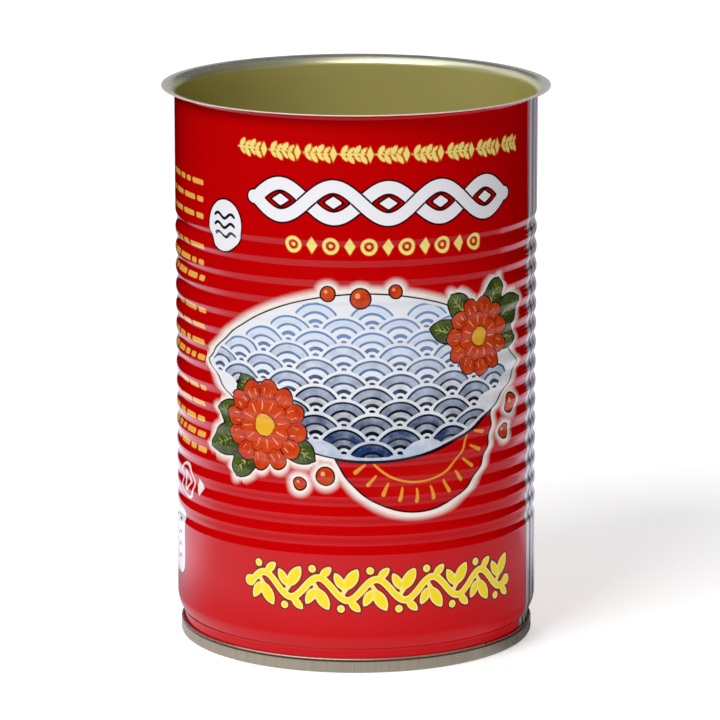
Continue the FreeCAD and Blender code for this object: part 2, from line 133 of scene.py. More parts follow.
def inner_rows(band, per):
    """The other side of the sheet: the cut lip, the flange's top, the bend, and the inside down to the neck."""
    e = 0.06
    sr, cr = math.sin(math.radians(RISE)), math.cos(math.radians(RISE))
    under = BEND_Z + (BEND + (LIP - 0.06 - BEND_R) * sr) / cr
    rows = []
    for a in steps(-90 + RISE, 0, 4):
        c, s = math.cos(math.radians(a)), math.sin(math.radians(a))
        rows.append((LIP - e + e * c, under + e + e * s, c, s))
    for a in steps(0, 90 + RISE, 4):
        c, s = math.cos(math.radians(a)), math.sin(math.radians(a))
        rows.append((LIP - e + e * c, TOP - e + e * s, c, s))
    for a in steps(90 + RISE, 180, 24):
        c, s = math.cos(math.radians(a)), math.sin(math.radians(a))
        rows.append((BEND_R + (BEND + SHEET) * c, BEND_Z + (BEND + SHEET) * s, c, s))
    rows += [(WALL - SHEET, z, -1, 0) for z in steps(BEND_Z, ZTOP, band)[1:-1]]
    rows += bead_rows(per, SHEET, -1)
    rows += [(WALL - SHEET, z, -1, 0) for z in steps(ZLOW, SHOULDER_Z, 6)[1:]]
    reach = SHOULDER + NECK
    across = NECK_R + NECK - (WALL - SHOULDER)
    turn = math.degrees(math.acos(across / reach))
    rr = SHOULDER - SHEET
    for a in steps(0, -turn, 8)[1:]:
        c, s = math.cos(math.radians(a)), math.sin(math.radians(a))
        rows.append((WALL - SHOULDER + rr * c, SHOULDER_Z + rr * s, -c, -s))
    zn = SHOULDER_Z - math.sqrt(reach * reach - across * across)
    rr = NECK + SHEET
    for a in steps(180 - turn, 180, 5)[1:]:
        c, s = math.cos(math.radians(a)), math.sin(math.radians(a))
        rows.append((NECK_R + NECK + rr * c, zn + rr * s, c, s))
    rows += [(NECK_R - SHEET, z, -1, 0) for z in steps(zn, 2.7, 2)[1:]]
    return rows


def turned(name, rows, az0, az1, cols, relief=None, layers=None):
    """A turned sheet between two azimuths. Azimuth 0 faces -Y, and grows towards +X. Its normals are the curve's own."""
    rows = np.array(rows, float)
    closed = abs(az1 - az0 - 360) < 1e-9
    ncol = cols if closed else cols + 1
    az = np.radians(az0 + (az1 - az0) * np.arange(ncol) / cols)
    r = rows[:, 0][:, None] * np.ones(ncol)
    nr = rows[:, 2][:, None] * np.ones(ncol)
    nz = rows[:, 3][:, None] * np.ones(ncol)
    nt = np.zeros_like(r)
    z = rows[:, 1][:, None] * np.ones(ncol)
    if relief is not None:
        lift, slope = relief(np.degrees(az))
        r = r + lift[None, :]
        nt = -slope[None, :] * np.ones_like(r)
    length = np.sqrt(nr**2 + nz**2 + nt**2)
    nr, nz, nt = nr / length, nz / length, nt / length
    sa, ca = np.sin(az)[None, :], np.cos(az)[None, :]
    co = np.stack([r * sa, -r * ca, z], -1) * MM
    no = np.stack([nr * sa + nt * ca, -nr * ca + nt * sa, nz], -1)
    nrow = len(rows)
    i, j = np.meshgrid(np.arange(nrow - 1), np.arange(cols), indexing="ij")
    j2 = (j + 1) % ncol
    quads = np.stack([i * ncol + j, (i + 1) * ncol + j, (i + 1) * ncol + j2, i * ncol + j2], -1).reshape(-1, 4)
    # faces look along the stored normals
    q = quads[len(quads) // 2]
    a, b, c = (co.reshape(-1, 3)[q[k]] for k in (0, 1, 2))
    turn_over = np.dot(np.cross(b - a, c - a), no.reshape(-1, 3)[q[0]]) < 0
    if turn_over:
        quads = quads[:, ::-1]
    me = bpy.data.meshes.new(name)
    me.vertices.add(nrow * ncol)
    me.vertices.foreach_set("co", co.reshape(-1).astype(np.float32))
    me.loops.add(quads.size)
    me.loops.foreach_set("vertex_index", quads.reshape(-1).astype(np.int32))
    me.polygons.add(len(quads))
    me.polygons.foreach_set("loop_start", (np.arange(len(quads)) * 4).astype(np.int32))
    me.polygons.foreach_set("use_smooth", np.ones(len(quads), bool))
    me.update(calc_edges=True)
    # two maps: one fills the square, the other holds the arc and the height in millimetres
    run = np.concatenate([[0], np.cumsum(np.hypot(np.diff(rows[:, 0]), np.diff(rows[:, 1])))])
    v = 1 - run / run[-1]
    u = np.arange(cols + 1) / cols
    uq = np.stack([np.stack([u[j], v[i]], -1), np.stack([u[j], v[i + 1]], -1), np.stack([u[j + 1], v[i + 1]], -1), np.stack([u[j + 1], v[i]], -1)], 2).reshape(-1, 4, 2)
    if turn_over:
        uq = uq[:, ::-1]
    uq = uq * 0.98 + 0.01
    bake = me.uv_layers.new(name="OFBake")
    bake.data.foreach_set("uv", uq.reshape(-1).astype(np.float32))
    me.normals_split_custom_set_from_vertices(no.reshape(-1, 3).astype(np.float32))
    arc = (np.degrees(az)[None, :] * math.pi / 180 * WALL * np.ones_like(r)).reshape(-1)
    zz = z.reshape(-1)
    for key, values in (("arc_mm", arc), ("z_mm", zz)):
        me.attributes.new(key, "FLOAT", "POINT").data.foreach_set("value", values.astype(np.float32))
    if layers is not None:
        for key, values in layers(arc, zz, r.reshape(-1)).items():
            me.attributes.new(key, "FLOAT", "POINT").data.foreach_set("value", values.astype(np.float32))
    ob = bpy.data.objects.new(name, me)
    bpy.context.scene.collection.objects.link(ob)
    return ob

# ---------------------------------------------------------------- how bright each part of the studio is
TABLE_L = (0.62, 0.32, 0.68)  # the table's glow at the seam, close by, and further out
TABLE_NEAR = (0.042, 0.052, 0.058, 0.095)   # these distances are from the can's axis
TABLE_END = (0.16, 0.24)
SHADE = 0.60                  # the can shades the table on its right
BACK_L = (0.95, 0.50)         # bright just behind the can, dimmer beyond
PORT_L = 0.9                  # and brighter again on the left
STARBOARD = -0.80             # but dim close by on the right
OVER = (0.50, 1.00, 1.5)
BOUNCE = 1.35                 # soft light from the lit table, which ends a hand away
ROOM = 0.002
AMBIENT = (0.09, 0.05)        # soft light from above and from below, less from the right
AMBIENT_TURN = (1.25, 0.20)
LIGHTS = [
    ("key", (-0.62, -0.78, 0.95), (0, 0, 0.05), (0.7, 0.7), 13.8),
    ("fill", (0.80, -0.72, 0.10), (0, 0, 0.06), (0.5, 0.2), 3.5),
    ("low", (-0.28, -0.62, 0.08), (0, 0, 0.01), (0.25, 0.15), 0.5),
    ("top", (0.0, 0.1, 1.3), (0, 0, 0.05), (0.8, 0.8), 0.3),
    ("rim", (-0.28, -0.80, 0.82), (0, 0.02, 0.11), (1.2, 0.42), 6.6),
    ("rim_back", (0.0, 1.20, 0.30), (0, 0, 0.11), (1.8, 0.30), 0.72),
    ("rim_port", (-0.80, 0.62, 0.58), (0, 0, 0.11), (0.9, 0.6), 1.0),
    ("rear", (0.1, 1.2, 0.9), (0, 0, 0.05), (0.9, 0.6), 8.0),
]


# ---------------------------------------------------------------- materials
def lin(r, g, b):
    return tuple(((c / 255) / 12.92 if c <= 10 else (((c / 255) + 0.055) / 1.055) ** 2.4) for c in (r, g, b)) + (1.0,)


class Nodes:
    """A small hand for wiring a material: every call adds one node and gives its output."""

    def __init__(self, name):
        self.mat = bpy.data.materials.new(name)
        self.mat.use_nodes = True
        self.tree = self.mat.node_tree
        self.tree.nodes.clear()

    def add(self, kind, **settings):
        node = self.tree.nodes.new(kind)
        for key, value in settings.items():
            setattr(node, key, value)
        return node

    def put(self, socket, value):
        if hasattr(value, "is_output"):
            self.tree.links.new(value, socket)
        elif value is not None:
            socket.default_value = value

    def math(self, op, a, b=None, c=None, clamp=False):
        node = self.add("ShaderNodeMath", operation=op, use_clamp=clamp)
        for k, v in enumerate((a, b, c)):
            if v is not None:
                self.put(node.inputs[k], v)
        return node.outputs[0]

    def attr(self, name):
        return self.add("ShaderNodeAttribute", attribute_name=name, attribute_type="GEOMETRY").outputs["Fac"]

    def ramp(self, value, start, end, low=0.0, high=1.0, smooth=False):
        node = self.add("ShaderNodeMapRange", interpolation_type="SMOOTHSTEP" if smooth else "LINEAR")
        node.clamp = True
        for k, v in zip(("Value", "From Min", "From Max", "To Min", "To Max"), (value, start, end, low, high)):
            self.put(node.inputs[k], v)
        return node.outputs["Result"]

    def mix(self, factor, a, b, blend="MIX"):
        node = self.add("ShaderNodeMix", data_type="RGBA", blend_type=blend)
        node.clamp_factor = True
        self.put(node.inputs[0], factor)
        self.put(node.inputs[6], a)
        self.put(node.inputs[7], b)
        return node.outputs[2]

    def noise(self, scale, detail=2.0, rough=0.5, stretch=None, vector=None):
        if vector is None:
            vector = self.add("ShaderNodeTexCoord").outputs["Object"]
        if stretch is not None:
            m = self.add("ShaderNodeMapping")
            self.put(m.inputs["Vector"], vector)
            m.inputs["Scale"].default_value = stretch
            vector = m.outputs[0]
        node = self.add("ShaderNodeTexNoise")
        self.put(node.inputs["Vector"], vector)
        node.inputs["Scale"].default_value = scale
        node.inputs["Detail"].default_value = detail
        node.inputs["Roughness"].default_value = rough
        return node.outputs["Fac"]

    def around(self, along, up):
        """Coordinates for grain: the arc and the height, each stretched."""
        node = self.add("ShaderNodeCombineXYZ")
        self.put(node.inputs[0], self.math("MULTIPLY", self.attr("arc_mm"), along))
        self.put(node.inputs[1], self.math("MULTIPLY", self.attr("z_mm"), up))
        return node.outputs[0]

    def bump(self, height, strength, distance, normal=None):
        node = self.add("ShaderNodeBump")
        node.inputs["Strength"].default_value = strength
        node.inputs["Distance"].default_value = distance
        self.put(node.inputs["Height"], height)
        self.put(node.inputs["Normal"], normal)
        return node.outputs[0]

    def shader(self, colour, rough, metal=0.0, normal=None, ior=1.5, coat=None):
        node = self.add("ShaderNodeBsdfPrincipled")
        self.put(node.inputs["Base Color"], colour)
        self.put(node.inputs["Roughness"], rough)
        self.put(node.inputs["Metallic"], metal)
        node.inputs["IOR"].default_value = ior
        if normal is not None:
            self.put(node.inputs["Normal"], normal)
        if coat is not None:
            node.inputs["Coat Weight"].default_value = coat[0]
            node.inputs["Coat Roughness"].default_value = coat[1]
        out = self.add("ShaderNodeOutputMaterial")
        self.tree.links.new(node.outputs[0], out.inputs[0])
        return self.mat


RED = (0.53, 0.0004, 0.0012, 1.0)


def printed():
    n = Nodes("printed_wall")
    blotch = n.noise(38.0, 3.0)
    colour = n.mix(n.ramp(blotch, 0.35, 0.7, 0.0, 0.10), RED, (0.46, 0.0003, 0.001, 1.0))
    colour = print_colours(n, colour)
    rough = n.ramp(n.noise(160.0, 2.0), 0.3, 0.7, 0.055, 0.085)
    skin = n.bump(n.noise(900.0, 1.0), 0.02, 0.0002)
    return n.shader(colour, rough, 0.0, skin)


def gold():
    """Gold lacquer inside, thinning to bare tinplate over the flange."""
    n = Nodes("gold_lacquer")
    z = n.attr("z_mm")
    lac = n.ramp(z, TOP - 1.2, TOP - 1.95, 0.0, 1.0, smooth=True)
    tinge = n.ramp(z, TOP - 0.12, TOP - 0.75, 0.0, 1.0, smooth=True)
    streak = n.noise(1.0, 3.0, 0.6, vector=n.around(0.25, 2.2))
    cloud = n.noise(30.0, 2.0)
    gold_c = n.mix(n.ramp(cloud, 0.3, 0.7, 0.0, 1.0), (0.415, 0.37, 0.115, 1.0), (0.47, 0.425, 0.14, 1.0))
    tin_c = n.mix(n.ramp(streak, 0.35, 0.65, 0.0, 1.0), (0.66, 0.655, 0.62, 1.0), (0.80, 0.79, 0.75, 1.0))
    tin_c = n.mix(tinge, tin_c, (0.86, 0.85, 0.58, 1.0))
    colour = n.mix(lac, tin_c, gold_c)
    # the sheared edge is real bare steel, made nearly non-metallic so the lamps light it; its pale pink tint is a
    # painted reflection of the red wall
    cut = n.attr("cut_edge")
    colour = n.mix(cut, colour, (0.78, 0.59, 0.50, 1.0))
    rough = n.math("ADD", n.ramp(tinge, 0.0, 1.0, 0.17, 0.34), n.ramp(streak, 0.3, 0.7, -0.03, 0.05))
    return n.shader(colour, rough, n.math("MULTIPLY", n.math("MINIMUM", n.ramp(lac, 0.0, 1.0, 0.8, 0.45), n.ramp(tinge, 0.0, 1.0, 1.0, 0.8)), n.math("SUBTRACT", 1.0, n.math("MULTIPLY", cut, 0.85))), n.bump(streak, 0.05, 0.0003))


def weld():
    """The bare strip down the side: grained tinplate, the weld's raised line, and three dark bands along it, two broad
    ones over the hollows beside the weld and a thin reddish one at its edge by the print.
    """
    n = Nodes("side_weld")
    a = n.math("MULTIPLY", n.attr("arc_mm"), 180 / (math.pi * WALL))
    grain = n.noise(1.0, 3.0, 0.6, vector=n.around(6.0, 0.35))
    tone = n.mix(n.ramp(grain, 0.3, 0.7), (0.60, 0.56, 0.53, 1.0), (0.80, 0.76, 0.73, 1.0))
    for centre, half, dark in ((70.2, 0.5, (0.06, 0.02, 0.02, 1.0)), (74.8, 1.55, (0.03, 0.026, 0.022, 1.0)), (79.8, 2.2, (0.03, 0.026, 0.022, 1.0))):
        off = n.math("ABSOLUTE", n.math("SUBTRACT", a, centre))
        tone = n.mix(n.ramp(off, half, half * 0.4, 0.0, 0.92, smooth=True), tone, dark)
    rough = n.ramp(grain, 0.3, 0.7, 0.22, 0.34)
    return n.shader(tone, rough, 0.7, n.bump(grain, 0.08, 0.0003))


def end_metal():
    """The end: tinplate under clear lacquer outside, gold lacquer inside."""
    n = Nodes("end_tinplate")
    geo = n.add("ShaderNodeNewGeometry")
    pos = n.add("ShaderNodeSeparateXYZ")
    n.put(pos.inputs[0], geo.outputs["Position"])
    nor = n.add("ShaderNodeSeparateXYZ")
    n.put(nor.inputs[0], geo.outputs["Normal"])
    x, y = pos.outputs[0], pos.outputs[1]
    r = n.math("SQRT", n.math("ADD", n.math("MULTIPLY", x, x), n.math("MULTIPLY", y, y)))
    out = n.math("DIVIDE", n.math("ADD", n.math("MULTIPLY", x, nor.outputs[0]), n.math("MULTIPLY", y, nor.outputs[1])), n.math("MAXIMUM", r, 1e-5))
    side = n.math("SIGN", n.math("SUBTRACT", r, 0.03417))
    inside = n.math("ADD", n.math("MULTIPLY", out, side), nor.outputs[2])
    inside = n.math("MULTIPLY", n.ramp(inside, -0.05, 0.05), n.math("LESS_THAN", r, 0.0350))
    grain = n.noise(1.0, 3.0, 0.6, stretch=(900, 30, 30))
    fine = n.noise(1.0, 2.0, 0.6, stretch=(40, 40, 3000))
    tin = n.mix(n.ramp(grain, 0.3, 0.7), (0.49, 0.44, 0.305, 1.0), (0.57, 0.515, 0.365, 1.0))
    tin = n.mix(n.ramp(fine, 0.45, 0.75, 0.0, 0.25), tin, (0.42, 0.37, 0.31, 1.0))
    # the seam's top edge is painted bright as a highlight, over a painted dark line that stands in for shade and dark
    # reflection
    z = n.math("MULTIPLY", pos.outputs[2], 1000.0)
    rim = n.ramp(r, 0.03540, 0.03550)
    dark = n.math("MULTIPLY", n.math("MULTIPLY", n.ramp(z, 2.28, 2.44), n.ramp(z, 2.74, 2.66)), rim)
    tin = n.mix(dark, tin, (0.10, 0.055, 0.035, 1.0))
    painted_highlight = n.math("MULTIPLY", n.ramp(z, 2.70, 2.78), rim)
    tin = n.mix(painted_highlight, tin, (0.86, 0.72, 0.62, 1.0))
    colour = n.mix(inside, tin, (0.54, 0.48, 0.20, 1.0))
    rough = n.math("ADD", n.ramp(inside, 0.0, 1.0, 0.16, 0.36), n.ramp(fine, 0.3, 0.7, -0.03, 0.04))
    # the turned surface's own normal, free of the facets round it
    inv = n.math("DIVIDE", 1.0, n.math("MAXIMUM", r, 1e-5))
    smooth = n.add("ShaderNodeCombineXYZ")
    n.put(smooth.inputs[0], n.math("MULTIPLY", n.math("MULTIPLY", x, inv), out))
    n.put(smooth.inputs[1], n.math("MULTIPLY", n.math("MULTIPLY", y, inv), out))
    n.put(smooth.inputs[2], nor.outputs[2])
    unit = n.add("ShaderNodeVectorMath", operation="NORMALIZE")
    n.put(unit.inputs[0], smooth.outputs[0])
    return n.shader(colour, rough, n.ramp(inside, 0.0, 1.0, 0.8, 0.45), n.bump(fine, 0.05, 0.0002, unit.outputs[0]))


# ---------------------------------------------------------------- the print, as distances from drawn shapes
PANEL_A, PANEL_B, INFO = 6.4, -135.6, -64.6        # the middles of the two fronts and of the panel between them, as arcs
FAR = 6.0
SUN = (6.0, 51.0, 18.2)


def circle(x, y, cx, cy, r):
    return np.hypot(x - cx, y - cy) - r


def line(x, y, ax, ay, bx, by, wa, wb=None):
    """A stroke with round ends, wa wide at its start and wb at its end, as half widths."""
    wb = wa if wb is None else wb
    ux, uy = bx - ax, by - ay
    t = np.clip(((x - ax) * ux + (y - ay) * uy) / max(ux * ux + uy * uy, 1e-9), 0, 1)
    return np.hypot(x - ax - t * ux, y - ay - t * uy) - (wa + (wb - wa) * t)


def leaf(x, y, ax, ay, bx, by, w):
    """A leaf from a to b, pointed at both ends, w half wide."""
    length = math.hypot(bx - ax, by - ay)
    ux, uy = (bx - ax) / length, (by - ay) / length
    h = length / 2
    mx, my = (ax + bx) / 2, (ay + by) / 2
    u = (x - mx) * ux + (y - my) * uy
    v = np.abs(-(x - mx) * uy + (y - my) * ux)
    rad = (h * h + w * w) / (2 * w)
    inside = np.hypot(u, v + rad - w) - rad
    tip = np.hypot(np.abs(u) - h, v)
    return np.where((np.abs(u) > h) & (inside > 0), np.maximum(tip, inside * 0.7), inside)


def diamond(x, y, cx, cy, w, h):
    return (np.abs(x - cx) / w + np.abs(y - cy) / h - 1) * (w * h / math.hypot(w, h))


def box(x, y, cx, cy, w, h, r=0.0):
    qx, qy = np.abs(x - cx) - w + r, np.abs(y - cy) - h + r
    return np.hypot(np.maximum(qx, 0), np.maximum(qy, 0)) + np.minimum(np.maximum(qx, qy), 0) - r


class Print:
    """Distance fields over a piece's points: below 0 is inside a shape, and the material cuts them off sharply."""

    def __init__(self, arc, z):
        self.arc, self.z0 = arc, z
        info = (arc > -98.0) & (arc < -35.2)
        front = arc >= -35.2
        x = np.where(front, arc - PANEL_A, np.where(info, arc - INFO + 500, arc - PANEL_B))
        # the sheet was rolled a touch off square
        lean = np.where(info, arc - INFO, x)
        self.x, self.y = x, z + 0.016 * lean
        self.fields = {}

    def field(self, key):
        if key not in self.fields:
            self.fields[key] = np.full(len(self.x), FAR)
        return self.fields[key]

    def near(self, x0, x1, y0, y1, grow=3.0):
        return np.nonzero((self.x > x0 - grow) & (self.x < x1 + grow) & (self.y > y0 - grow) & (self.y < y1 + grow))[0]

    def add(self, key, shape, bounds, grow=3.0):
        i = self.near(*bounds, grow=grow)
        if len(i):
            f = self.field(key)
            f[i] = np.minimum(f[i], shape(self.x[i], self.y[i]))

    def cut(self, key, shape, bounds, grow=3.0):
        i = self.near(*bounds, grow=grow)
        if len(i):
            f = self.field(key)
            f[i] = np.maximum(f[i], -shape(self.x[i], self.y[i]))

    def circle(self, key, cx, cy, r):
        self.add(key, lambda x, y: circle(x, y, cx, cy, r), (cx - r, cx + r, cy - r, cy + r))

    def ring(self, key, cx, cy, r, half):
        self.add(key, lambda x, y: np.abs(circle(x, y, cx, cy, r)) - half, (cx - r, cx + r, cy - r, cy + r))

    def line(self, key, ax, ay, bx, by, wa, wb=None):
        self.add(key, lambda x, y: line(x, y, ax, ay, bx, by, wa, wb), (min(ax, bx), max(ax, bx), min(ay, by), max(ay, by)))

    def path(self, key, points, wa, wb=None):
        wb = wa if wb is None else wb
        n = len(points) - 1
        for k in range(n):
            (ax, ay), (bx, by) = points[k], points[k + 1]
            self.line(key, ax, ay, bx, by, wa + (wb - wa) * k / n, wa + (wb - wa) * (k + 1) / n)

    def leaf(self, key, ax, ay, bx, by, w):
        self.add(key, lambda x, y: leaf(x, y, ax, ay, bx, by, w), (min(ax, bx) - w, max(ax, bx) + w, min(ay, by) - w, max(ay, by) + w))

    def diamond(self, key, cx, cy, w, h):
        self.add(key, lambda x, y: diamond(x, y, cx, cy, w, h), (cx - w, cx + w, cy - h, cy + h))

    def box(self, key, cx, cy, w, h, r=0.0):
        self.add(key, lambda x, y: box(x, y, cx, cy, w, h, r), (cx - w, cx + w, cy - h, cy + h))


def garland(p):
    """The fine pale row near the rim: a sprig of small leaves broken by diamonds."""
    y0 = 104.9
    for k in range(9):
        x0 = -28.8 + k * 7.2
        p.path("fine", [(x0 - 2.5, y0), (x0 + 2.5, y0)], 0.17)
        for i in range(4):
            xx = x0 - 2.1 + i * 1.25
            up = 1 if i % 2 == 0 else -1
            p.leaf("fine", xx, y0, xx + 1.35, y0 + 1.85 * up, 0.50)
            p.leaf("fine", xx, y0, xx + 1.35, y0 - 1.45 * up, 0.36)
        if k < 8:
            p.diamond("fine", x0 + 3.6, y0, 0.72, 1.7)


def braid(p):
    """The broad white row: two strands that twist round each other, with a bead in every eye."""
    y0, amp, half, wave = 95.25, 3.2, 1.22, 10.8
    ends = 27.0
    n = 220
    xs = [-ends + 2 * ends * i / n for i in range(n + 1)]
    strands = [[(x, y0 + s * amp * math.cos(math.pi * (x + ends) / wave * 2 * 0.5 + math.pi / 2) ) for x in xs] for s in (1, -1)]
    for pts in strands:
        for k in range(0, n, 1):
            (ax, ay), (bx, by) = pts[k], pts[k + 1]
            p.line("white", ax, ay, bx, by, half)
    # over and under: the strand that passes over is laid again, with a dark edge each side
    crossings = [-ends + wave * k for k in range(int(2 * ends / wave) + 1)]
    for k, cx in enumerate(crossings):
        if k == 0 or cx > ends - 0.5:
            continue
        slope = amp * math.pi / wave
        s = 1 if k % 2 else -1
        s *= 1 if k % 2 else -1
        ang = math.atan(slope) * (1 if k % 2 else -1)
        ux, uy = math.cos(ang), math.sin(ang)

        def shape(x, y, edge, end, cx=cx, ux=ux, uy=uy):
            v = np.abs(-(x - cx) * uy + (y - y0) * ux)
            other = np.abs((x - cx) * uy + (y - y0) * ux)
            return np.maximum(v - half - edge, other - half - end)

        reach = (cx - 3, cx + 3, y0 - 3, y0 + 3)
        p.add("notch", lambda x, y: shape(x, y, 0.38, 0.1), reach, grow=1.0)
        p.add("over", lambda x, y: shape(x, y, 0.0, 0.4), reach, grow=1.0)
    for k in range(len(crossings) - 1):
        cx = crossings[k] + wave / 2
        p.diamond("white", cx, y0, 1.8, 1.2)
    for side in (-1, 1):
        p.circle("white", side * (ends + 0.6), y0, 1.3)


def dots(p):
    """The second pale row: rings, diamonds and short dashes."""
    y0 = 86.55
    for k in range(11):
        x0 = -19.0 + k * 3.8
        if k % 2 == 0:
            p.ring("fine", x0, y0, 1.35, 0.34)
            p.circle("fine", x0, y0, 0.42)
        else:
            p.diamond("fine", x0, y0, 1.15, 1.75)


def scroll(p):
    """The broad yellow row near the foot: a vine that winds along, with leaves and berries."""
    y0, amp, wave, ends = 17.3, 2.2, 11.6, 28.4
    def vine(x):
        return y0 + amp * math.sin(2 * math.pi * (x + ends) / wave)
    n = 150
    pts = [(-ends + 2 * ends * i / n, vine(-ends + 2 * ends * i / n)) for i in range(n + 1)]
    p.path("gold", pts, 0.72)
    k = 0
    while True:
        cx = -ends + wave * (0.25 + 0.5 * k)
        if cx > ends - 1:
            break
        up = 1 if k % 2 == 0 else -1
        ym = y0 + amp * up
        yt = y0 - 4.3 * up
        # a leaf inside each curve, on a short stalk, and two small ones outside it
        p.line("gold", cx - 1.4, vine(cx - 1.4), cx + 0.2, y0 - 0.8 * up, 0.42)
        p.leaf("gold", cx - 0.6, y0 + 0.2 * up, cx + 2.1, yt, 1.25)
        p.leaf("gold", cx - 0.6, y0 + 0.2 * up, cx - 2.6, yt + 0.9 * up, 0.95)
        p.leaf("gold", cx + 0.2, ym, cx + 2.6, ym + 2.3 * up, 0.85)
        p.circle("gold", cx - 1.3, ym + 1.75 * up, 0.78)
        k += 1
    for side in (-1, 1):
        p.circle("gold", side * (ends + 0.5), vine(side * ends), 1.15)


def waves(x, y, cx, cy, rad, rise):
    """Overlapping scales, each a set of rings. Gives the distance to the white line, how far out on its own scale a point is, and that scale's middle."""
    step = 2 * rad
    mx, my = np.full(len(x), cx), np.full(len(x), cy)
    own = np.full(len(x), 9.0)
    edge = np.full(len(x), 9.0)
    j0 = np.floor((y - cy) / rise)
    done = np.zeros(len(x), bool)
    for dj in range(-6, 3):
        row = j0 + dj
        yc = cy + row * rise
        shift = np.mod(row, 2) * rad
        xc = cx + np.round((x - cx - shift) / step) * step + shift
        d = np.hypot(x - xc, y - yc)
        hit = (d < rad) & ~done
        edge = np.where(~done, np.minimum(edge, np.abs(d - rad)), edge)
        own = np.where(hit, d, own)
        mx, my = np.where(hit, xc, mx), np.where(hit, yc + 0.68 * rad, my)
        done |= hit
    return edge, own, mx, my


def picture(p):
    """The middle of the front: a field of waves with a low sun, two flowers, leaves and buds, all inside a soft white glow."""
    cx, cy = -3.2, 58.6
    i = p.near(-46, 40, 28, 86, grow=4)
    if not len(i):
        return
    x, y = p.x[i], p.y[i]

    def setf(key, value):
        p.field(key)[i] = np.minimum(p.field(key)[i], value)

    def outline(x, y):
        return leaf(x, y, cx - 37.6, cy + 2.0, cx + 36.5, cy + 1.5, 17.0)

    field = outline(x, y)
    sun = circle(x, y, SUN[0], SUN[1], SUN[2])
    setf("waves", field)
    setf("sun", np.maximum(sun, -field))
    edge, own, mx, my = waves(x, y, cx, cy, 5.6, 2.8)
    keep = field + 0.9
    # a scale that the edge would cut to a scrap is left white
    setf("foam", np.where(outline(mx, my) > -1.5, np.maximum(-0.6, keep - 0.6), 9.0))
    setf("foam", np.maximum(edge - 0.30, keep))
    setf("foam", np.maximum(np.abs(own - 1.15) - 0.28, keep))
    setf("blue", np.maximum(np.abs(own - 4.25) - 0.62, keep))
    setf("pale", np.maximum(np.abs(own - 2.65) - 0.50, keep))
    setf("foam", np.abs(field + 0.62) - 0.30)
    shape = np.minimum(field, sun)

    # rays round the low edge of the sun
    for k in range(13):
        a = math.radians(-168 + k * 13.0)
        ca, sa = math.cos(a), math.sin(a)
        ray = line(x, y, SUN[0] + 13.4 * ca, SUN[1] + 13.4 * sa, SUN[0] + 15.9 * ca, SUN[1] + 15.9 * sa, 0.22, 0.42)
        setf("ray", np.maximum(ray, -field + 0.4))
    setf("ray", np.maximum(np.abs(circle(x, y, SUN[0], SUN[1], 12.0)) - 0.24, -field + 0.4))

    def flower(fx, fy, r, petals, turn):
        nonlocal shape
        rx, ry = x - fx, y - fy
        rr, aa = np.hypot(rx, ry), np.arctan2(ry, rx) + turn
        lobe = np.abs(np.cos(aa * petals / 2))
        outer = rr - r * (0.80 + 0.20 * lobe ** 0.6)
        setf("petal", outer)
        lobe2 = np.abs(np.sin(aa * petals / 2))
        inner = rr - r * 0.62 * (0.80 + 0.20 * lobe2 ** 0.6)
        setf("petal_in", inner)
        # lines between the petals, and pale streaks down them
        w = 2 * math.pi / petals
        off = (np.mod(aa + w / 2 + w / 2, w) - w / 2) * rr
        setf("crease", np.maximum(np.maximum(np.abs(off) - 0.17, outer + 0.3), -(rr - r * 0.60)))
        off = (np.mod(aa + w / 2, w) - w / 2) * rr
        setf("streak", np.maximum(np.maximum(np.abs(np.abs(off) - 0.085 * r) - 0.13, outer + 0.16 * r), -(rr - r * 0.66)))
        off2 = (np.mod(aa, w) - w / 2) * rr
        setf("streak", np.maximum(np.maximum(np.abs(off2) - 0.15, inner + 0.08 * r), -(rr - r * 0.32)))
        setf("heart", rr - r * 0.25)
        setf("crease", np.abs(rr - r * 0.25) - 0.15)
        shape = np.minimum(shape, outer)

    leaves = []
    def sprig(ax, ay, bx, by, w):
        leaves.append((ax, ay, bx, by, w))

    # leaves behind the flowers
    for a, l, w in ((205, 15.5, 3.1), (238, 13.5, 2.8), (172, 12.0, 2.6), (120, 11.0, 2.5), (330, 12.5, 2.6)):
        c, s = math.cos(math.radians(a)), math.sin(math.radians(a))
        sprig(-25.5 + 4 * c, 49.5 + 4 * s, -25.5 + l * c, 49.5 + l * s, w)
    for a, l, w in ((25, 14.5, 3.0), (62, 12.5, 2.7), (-8, 11.5, 2.4), (128, 11.5, 2.5), (168, 12.0, 2.3)):
        c, s = math.cos(math.radians(a)), math.sin(math.radians(a))
        sprig(20.5 + 4 * c, 67.2 + 4 * s, 20.5 + l * c, 67.2 + l * s, w)
    green = np.full(len(x), FAR)
    for ax, ay, bx, by, w in leaves:
        g = leaf(x, y, ax, ay, bx, by, w)
        green = np.minimum(green, g)
        length = math.hypot(bx - ax, by - ay)
        ux, uy = (bx - ax) / length, (by - ay) / length
        vein = line(x, y, ax, ay, bx - 0.8 * ux, by - 0.8 * uy, 0.20, 0.10)
        for t in (0.42, 0.56, 0.70):
            qx, qy = ax + (bx - ax) * t, ay + (by - ay) * t
            for s in (-1, 1):
                ex, ey = qx + (ux * 1.3 - uy * s * 1.3), qy + (uy * 1.3 + ux * s * 1.3)
                vein = np.minimum(vein, line(x, y, qx, qy, ex, ey, 0.13, 0.08))
        setf("vein", np.maximum(vein, g + 0.3))
    setf("green", green)
    shape = np.minimum(shape, green)
    flower(-25.5, 49.5, 9.2, 12, 0.12)
    flower(20.5, 67.2, 8.0, 11, 0.35)
    # buds and drops
    for bx, by, r in ((-5.5, 76.2, 1.9), (-12.0, 77.0, 1.35), (1.5, 77.6, 1.2), (30.5, 52.2, 1.9), (28.2, 46.8, 1.4), (-12.5, 40.2, 1.7), (-17.8, 38.4, 1.2)):
        b = circle(x, y, bx, by, r)
        setf("petal", b)
        setf("streak", circle(x, y, bx - 0.3 * r, by + 0.3 * r, 0.28 * r))
        shape = np.minimum(shape, b)
    setf("shape", shape)
    # shading across the waves: light above, deep below
    p.field("depth")[i] = (y - cy) / 17.0


